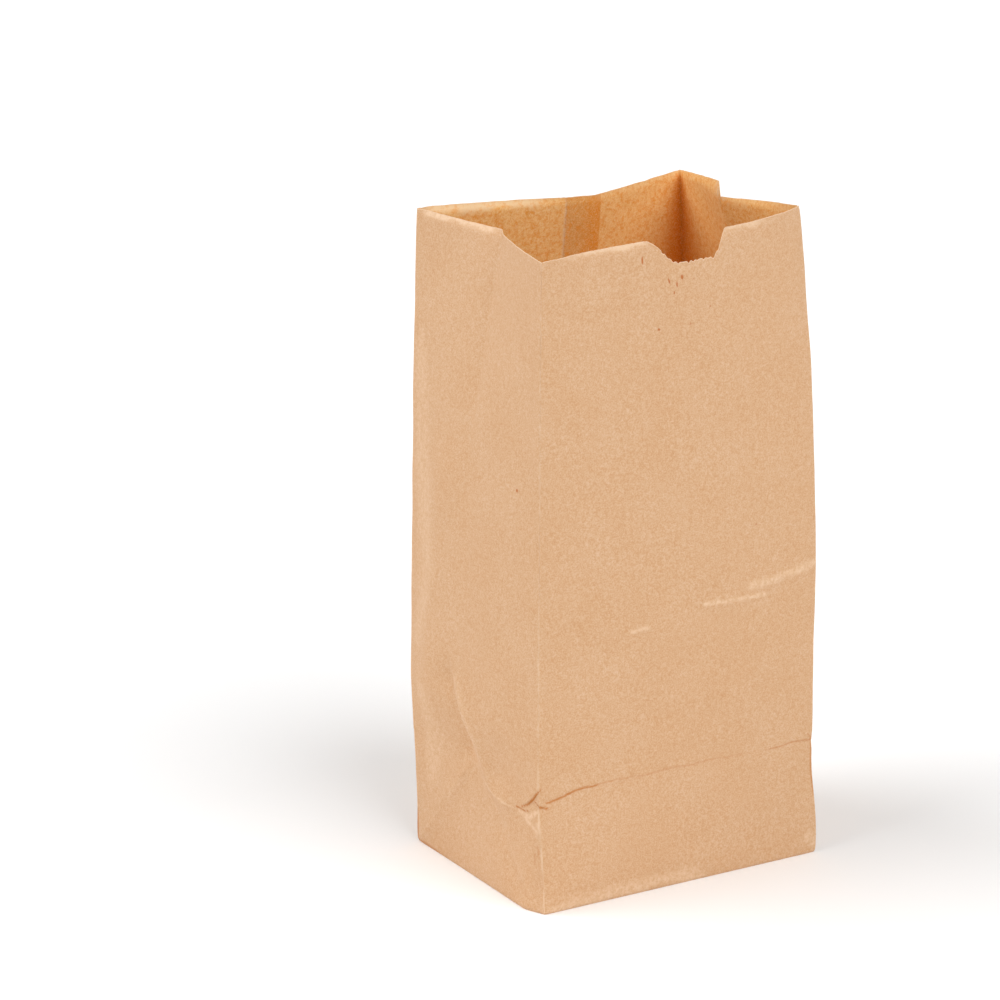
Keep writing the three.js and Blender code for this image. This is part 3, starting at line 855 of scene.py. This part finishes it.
def kraft_paper():
    """The paper. Lengths in the node tree are millimetres on the sheet, except in the noise."""
    n = Nodes("kraft_paper")
    uv = n.add("UVMap", uv_map="sheet").outputs[0]
    sheet = n.vector("SCALE", uv, scale=1 / MM)
    split = n.add("SeparateXYZ", {"Vector": sheet})
    u, z = split.outputs[0], split.outputs[1]
    place = n.add("TexCoord").outputs["Object"]
    within = n.attribute("within")
    outside = n.math("SUBTRACT", 1.0, within)

    # wander a little so that no line is drawn with a ruler
    wander = n.add("TexNoise", {"Vector": place}, Scale=260.0, Detail=2.0).outputs["Color"]
    wander = n.vector("SUBTRACT", wander, (0.5, 0.5, 0.5))
    drawn = n.vector("ADD", sheet, n.vector("MULTIPLY", wander, (1.3, 1.3, 0.0)))
    near_u = n.add("SeparateXYZ", {"Vector": drawn}).outputs[0]

    # clouds, fibre clumps, grain, and fibres along and across
    cloud = n.noise(place, 38.0, 3.0)
    clumps = n.noise(place, 560.0, 4.0, 0.62)
    grain = n.noise(place, 1700.0, 3.0, 0.65)
    fibres = n.noise(n.stretched(sheet, (2.2, 0.28, 1.0)), 1.0, 4.0, 0.7, 1.6)
    across = n.noise(n.stretched(sheet, (0.5, 2.6, 1.0)), 1.0, 3.0, 0.7, 2.2)

    colour = two_faces(n, u, z, within)
    colour = shade(n, colour, cloud, 0.3, 0.7, 0.975, 1.02)
    colour = shade(n, colour, clumps, 0.25, 0.75, 0.93, 1.065)
    colour = shade(n, colour, grain, 0.3, 0.7, 0.84, 1.15)
    colour = shade(n, colour, fibres, 0.3, 0.75, 0.96, 1.03)
    colour = shade(n, colour, across, 0.3, 0.75, 0.98, 1.02)
    # the inside is rougher, with darker and lighter spots; the lighter ones come last
    spotted = n.times(n.ramp(clumps, 0.54, 0.36, 0.0, 0.55), within)
    colour = n.tint(colour, linear(DEEP), spotted)

    colour = flecks_and_specks(n, colour, place, drawn, outside)
    colour = long_creases(n, colour, place, near_u, z, outside)
    # pale scuffs, and painted highlights where the sheet faces the light
    scuff_and_highlight = rubbed_and_lit(n, drawn, near_u, z, clumps, outside)
    colour = n.tint(colour, linear(PALE), n.times(scuff_and_highlight, 0.6))
    # painted shade along the creases and folds, also cut into the bumps
    shadow_line = n.attribute("shadow_line")
    colour = n.tint(colour, linear(SHADOW_LINE), n.times(shadow_line, 0.95))

    # the cut edge is paler where fibres stand open; the lip below it gets a painted highlight where it
    # bends over to face upwards; inside, the grain has light spots too
    edge = n.ramp(n.attribute("below"), 0.5, 0.0)
    lip = n.times(n.attribute("lip"), n.ramp(clumps, 0.3, 0.55, 0.55, 1.0))
    pale = n.tint(n.colour(PALE), linear(PALE_INSIDE), within)
    mottle = n.times(n.ramp(grain, 0.47, 0.70, 0.0, 0.55), within)
    pale_fibres_and_highlights = n.math("MAXIMUM", n.math("MAXIMUM", edge, lip), mottle)
    colour = n.tint(colour, pale, n.times(pale_fibres_and_highlights, 0.85))

    height = n.math("ADD", n.times(clumps, 0.5), n.times(fibres, 0.35))
    height = n.math("ADD", height, n.times(grain, 0.25))
    height = n.math("SUBTRACT", height, n.times(shadow_line, 0.95))
    height = n.math("ADD", height, n.times(scuff_and_highlight, 0.4))
    bump = n.add("Bump", {"Height": height}, Strength=0.35, Distance=0.00012)
    shader = n.add("BsdfPrincipled", {
        "Base Color": colour,
        "Roughness": n.ramp(clumps, 0.3, 0.7, 0.82, 0.94),
        "Normal": bump.outputs[0],
    })
    shader.inputs["Specular IOR Level"].default_value = 0.25
    shader.inputs["Sheen Weight"].default_value = 0.05
    n.add("OutputMaterial", {"Surface": shader.outputs[0]})
    return n.material


# ---- floor, light and camera --------------------------------------------------------------
FLOOR_HALF = 9.0             # metres, far enough to meet the white horizon


def floor():
    mesh = bpy.data.meshes.new("floor")
    corners = [(x * FLOOR_HALF, y * FLOOR_HALF, 0) for x, y in ((-1, -1), (1, -1), (1, 1), (-1, 1))]
    mesh.from_pydata(corners, [], [(0, 1, 2, 3)])
    obj = bpy.data.objects.new("floor", mesh)
    bpy.context.collection.objects.link(obj)
    n = Nodes("studio_floor")
    shader = n.add("BsdfPrincipled")
    shader.inputs["Base Color"].default_value = (0.95, 0.95, 0.95, 1)
    shader.inputs["Roughness"].default_value = 0.9
    shader.inputs["Specular IOR Level"].default_value = 0.1
    n.add("OutputMaterial", {"Surface": shader.outputs[0]})
    mesh.materials.append(n.material)
    return obj


def sun(name, place, strength, angle):
    """Light from the direction of place, evenly over everything, from a source this wide."""
    light = bpy.data.lights.new(name, "SUN")
    light.energy = strength
    light.angle = math.radians(angle)
    obj = bpy.data.objects.new(name, light)
    obj.rotation_euler = Vector([-c for c in place]).to_track_quat("-Z", "Y").to_euler()
    bpy.context.collection.objects.link(obj)


def studio():
    world = bpy.data.worlds.new("studio")
    world.use_nodes = True
    tree = world.node_tree
    back = tree.nodes["Background"]
    back.inputs["Color"].default_value = (1, 1, 1, 1)
    # white at the horizon, so that the floor runs into it, and greyer overhead
    way = tree.nodes.new("ShaderNodeTexCoord")
    split = tree.nodes.new("ShaderNodeSeparateXYZ")
    level = tree.nodes.new("ShaderNodeMapRange")
    level.interpolation_type = "SMOOTHSTEP"
    for key, number in (("From Min", 0.12), ("From Max", 0.3), ("To Min", 1.0), ("To Max", 0.34)):
        level.inputs[key].default_value = number
    tree.links.new(way.outputs["Generated"], split.inputs[0])
    tree.links.new(split.outputs[2], level.inputs["Value"])
    tree.links.new(level.outputs["Result"], back.inputs["Strength"])
    bpy.context.scene.world = world
    sun("left", (-1.4, 0.6, 1.65), 1.76, 50)
    sun("front", (0.3, -1.5, 1.7), 1.78, 45)


# the photograph's camera: where it looks, from how far off in metres, and its lens in mm
LOOK_AT, DISTANCE, LENS = (-0.0602, -0.008, 0.1581), 1.85, 172.15
AZIMUTH, ELEVATION = -31.87, 17.03


def towards_viewer(azimuth, elevation):
    """From the object towards a viewer, in degrees; azimuth 0 looks along +Y."""
    a, e = math.radians(azimuth), math.radians(elevation)
    return Vector((math.sin(a) * math.cos(e), -math.cos(a) * math.cos(e), math.sin(e)))


def camera():
    back = towards_viewer(AZIMUTH, ELEVATION)
    data = bpy.data.cameras.new("camera")
    data.sensor_width = 36
    data.lens = LENS
    obj = bpy.data.objects.new("camera", data)
    obj.location = Vector(LOOK_AT) + back * DISTANCE
    obj.rotation_euler = (-back).to_track_quat("-Z", "Y").to_euler()
    bpy.context.collection.objects.link(obj)
    bpy.context.scene.camera = obj


camera()
studio()
floor()
bag = build_bag()
bag.data.materials.append(kraft_paper())
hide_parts("paper_bag")
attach(bag, "root")
bpy.context.scene.view_settings.view_transform = "Standard"
